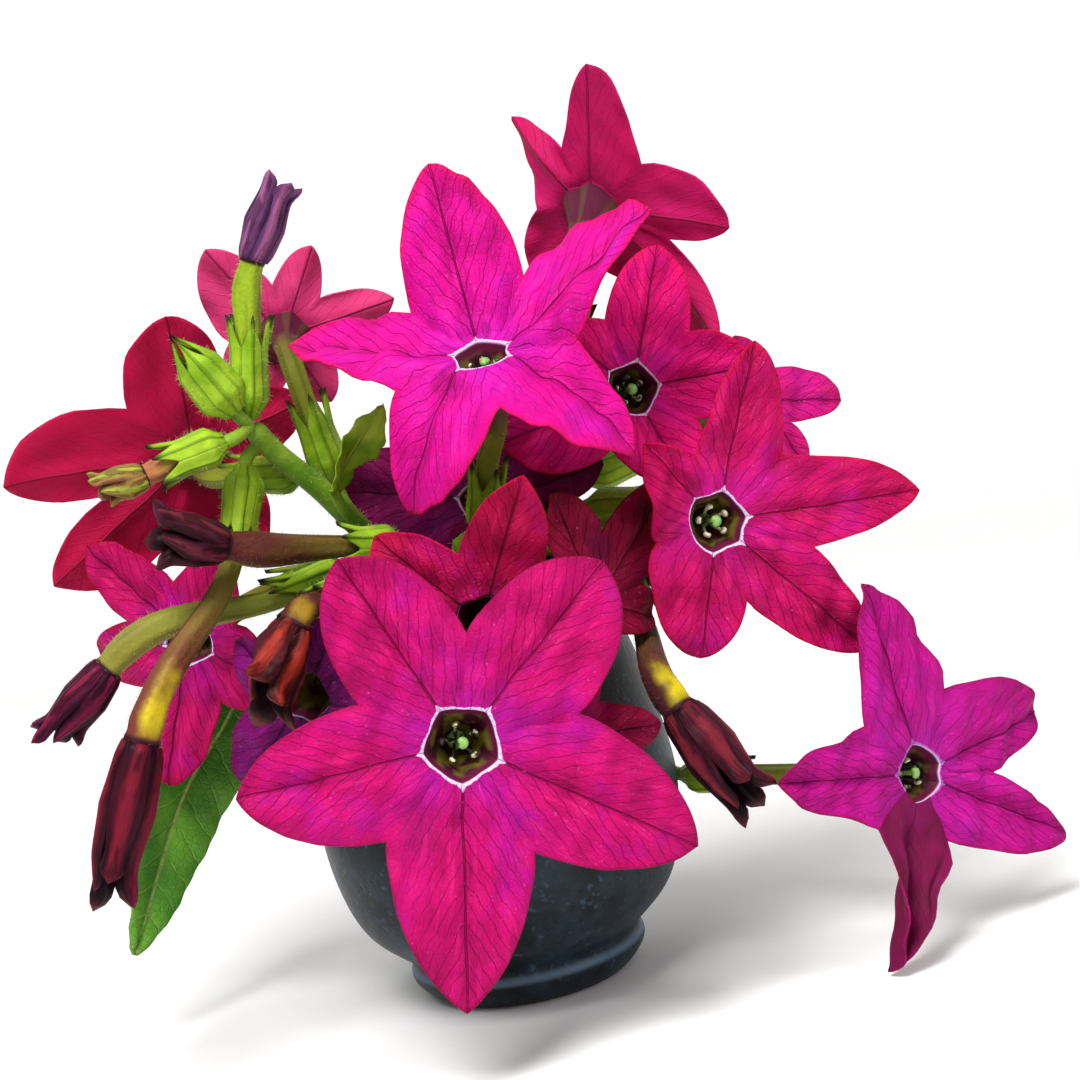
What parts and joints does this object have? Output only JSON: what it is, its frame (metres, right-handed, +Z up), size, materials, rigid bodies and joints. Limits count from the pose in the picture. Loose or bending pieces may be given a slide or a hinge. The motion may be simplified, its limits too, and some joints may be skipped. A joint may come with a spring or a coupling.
{
  "type": "potted flowering tobacco",
  "caption": "Round dark glazed pot of compost out of which leafy sprays carry star-shaped crimson and magenta tobacco blooms and folded buds.",
  "frame": {"origin": "centre of the pot's flat foot, on the surface the pot stands on", "axes": "+Z up along the pot's axis; -Y towards the side that the front bloom faces; +X to that viewer's right"},
  "size_m": [0.1398, 0.0741, 0.128],
  "materials": {
    "pot_glaze": "semi-matte speckled glaze",
    "compost": "rough",
    "petal_magenta": "satin",
    "petal_crimson": "satin",
    "bud_maroon": "matt",
    "green": "satin",
    "stamen": "matt"
  },
  "bodies": {
    "root": {"pot": "pot_glaze", "compost": "compost", "spray_upper_left": "green", "spray_left": "green", "spray_front_left": "green", "spray_middle": "green", "spray_right": "green", "spray_front_right": "green", "spray_back": "green", "spray_far_right": "green", "bloom_front": "petal_magenta", "bloom_upper": "petal_magenta", "bloom_right": "petal_magenta", "bloom_far_right": "petal_magenta", "bloom_upper_right": "petal_magenta", "bloom_top": "petal_crimson", "bloom_right_back": "petal_magenta", "bloom_left_back": "petal_crimson", "bloom_left": "petal_crimson", "bloom_upper_left": "petal_crimson", "bloom_middle": "petal_crimson", "bloom_deep": "petal_crimson", "bloom_inner_right": "petal_crimson", "bloom_low_left": "petal_crimson", "bloom_low_right": "petal_crimson", "bud_upright": "bud_maroon", "bud_pink": "bud_maroon", "bud_hanging": "bud_maroon", "bud_level": "bud_maroon", "bud_far_left": "bud_maroon", "bud_twisted": "bud_maroon", "bud_right": "bud_maroon", "stamens_front": "stamen", "stamens_upper": "stamen", "stamens_right": "stamen", "stamens_far_right": "stamen", "stamens_upper_right": "stamen"}
  },
  "joints": []
}
